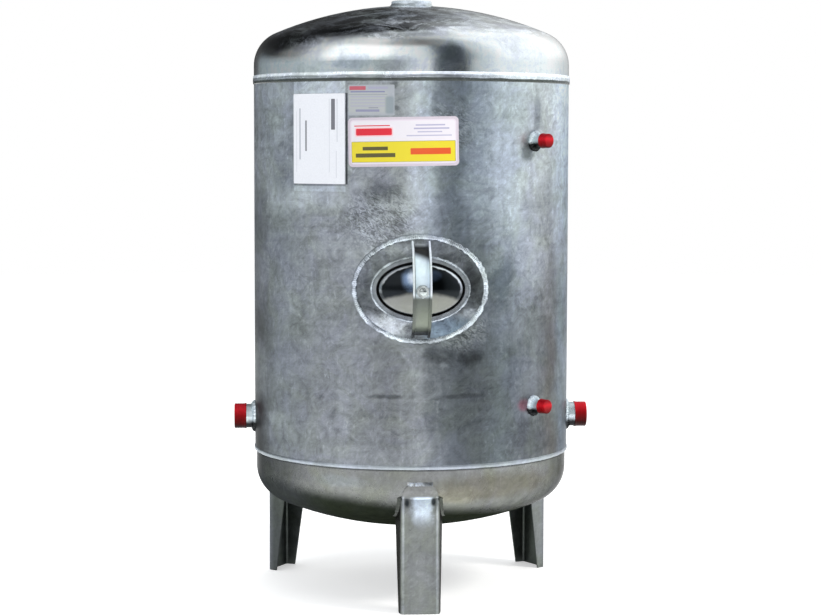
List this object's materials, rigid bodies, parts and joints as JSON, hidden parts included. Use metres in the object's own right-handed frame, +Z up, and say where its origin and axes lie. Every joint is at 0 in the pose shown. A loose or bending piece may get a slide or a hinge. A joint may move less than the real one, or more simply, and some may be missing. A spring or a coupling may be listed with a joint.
{
  "type": "well pressure tank",
  "caption": "Upright galvanised steel pressure vessel on three pressed channel legs, with dished heads, capped pipe nipples, an oval clamped handhole and a threaded socket on top.",
  "frame": {"origin": "on the tank's axis at floor level, under the drain socket", "axes": "+Z up along the tank's axis, -Y towards the handhole and the front leg, +X towards the right-hand nipple"},
  "size_m": [0.6226, 0.6162, 1.0239],
  "materials": {
    "galvanised_shell": "hot-dip galvanised, mottled",
    "galvanised_head": "hot-dip galvanised, smoother and brighter",
    "galvanised_leg": "hot-dip galvanised, satin",
    "galvanised_fitting": "hot-dip galvanised pipe",
    "zinc_weld": "galvanised weld bead",
    "bright_zinc": "bright zinc plate",
    "black_rubber": "moulded rubber",
    "red_cap": "thin moulded polyethylene",
    "sticker_film": "printed vinyl film",
    "silver_film": "silvery film",
    "white_paper": "white paper"
  },
  "bodies": {
    "root": {"shell": "galvanised_shell", "top_head": "galvanised_head", "bottom_head": "galvanised_head", "shell_seam_weld": "zinc_weld", "top_seam_weld": "zinc_weld", "bottom_seam_weld": "zinc_weld", "top_socket": "galvanised_fitting", "top_socket_weld": "zinc_weld", "drain_socket": "galvanised_fitting", "drain_socket_weld": "zinc_weld", "left_nipple": "galvanised_fitting", "left_nipple_weld": "zinc_weld", "left_nipple_cap": "red_cap", "right_nipple": "galvanised_fitting", "right_nipple_weld": "zinc_weld", "right_nipple_cap": "red_cap", "upper_gauge_nipple": "galvanised_fitting", "upper_gauge_nipple_weld": "zinc_weld", "upper_gauge_nipple_cap": "red_cap", "lower_gauge_nipple": "galvanised_fitting", "lower_gauge_nipple_weld": "zinc_weld", "lower_gauge_nipple_cap": "red_cap", "handhole_pad": "galvanised_shell", "handhole_pad_weld": "zinc_weld", "handhole_neck": "galvanised_fitting", "handhole_neck_weld": "zinc_weld", "handhole_cover": "bright_zinc", "cover_gasket": "black_rubber", "cover_stud": "bright_zinc", "cover_stud_weld": "bright_zinc", "bridge": "bright_zinc", "bridge_washer": "bright_zinc", "bridge_nut": "bright_zinc", "leg_front": "galvanised_leg", "leg_front_weld": "zinc_weld", "leg_left": "galvanised_leg", "leg_left_weld": "zinc_weld", "leg_right": "galvanised_leg", "leg_right_weld": "zinc_weld", "main_label": "sticker_film", "rating_label": "silver_film", "instruction_booklet": "white_paper"}
  },
  "joints": []
}
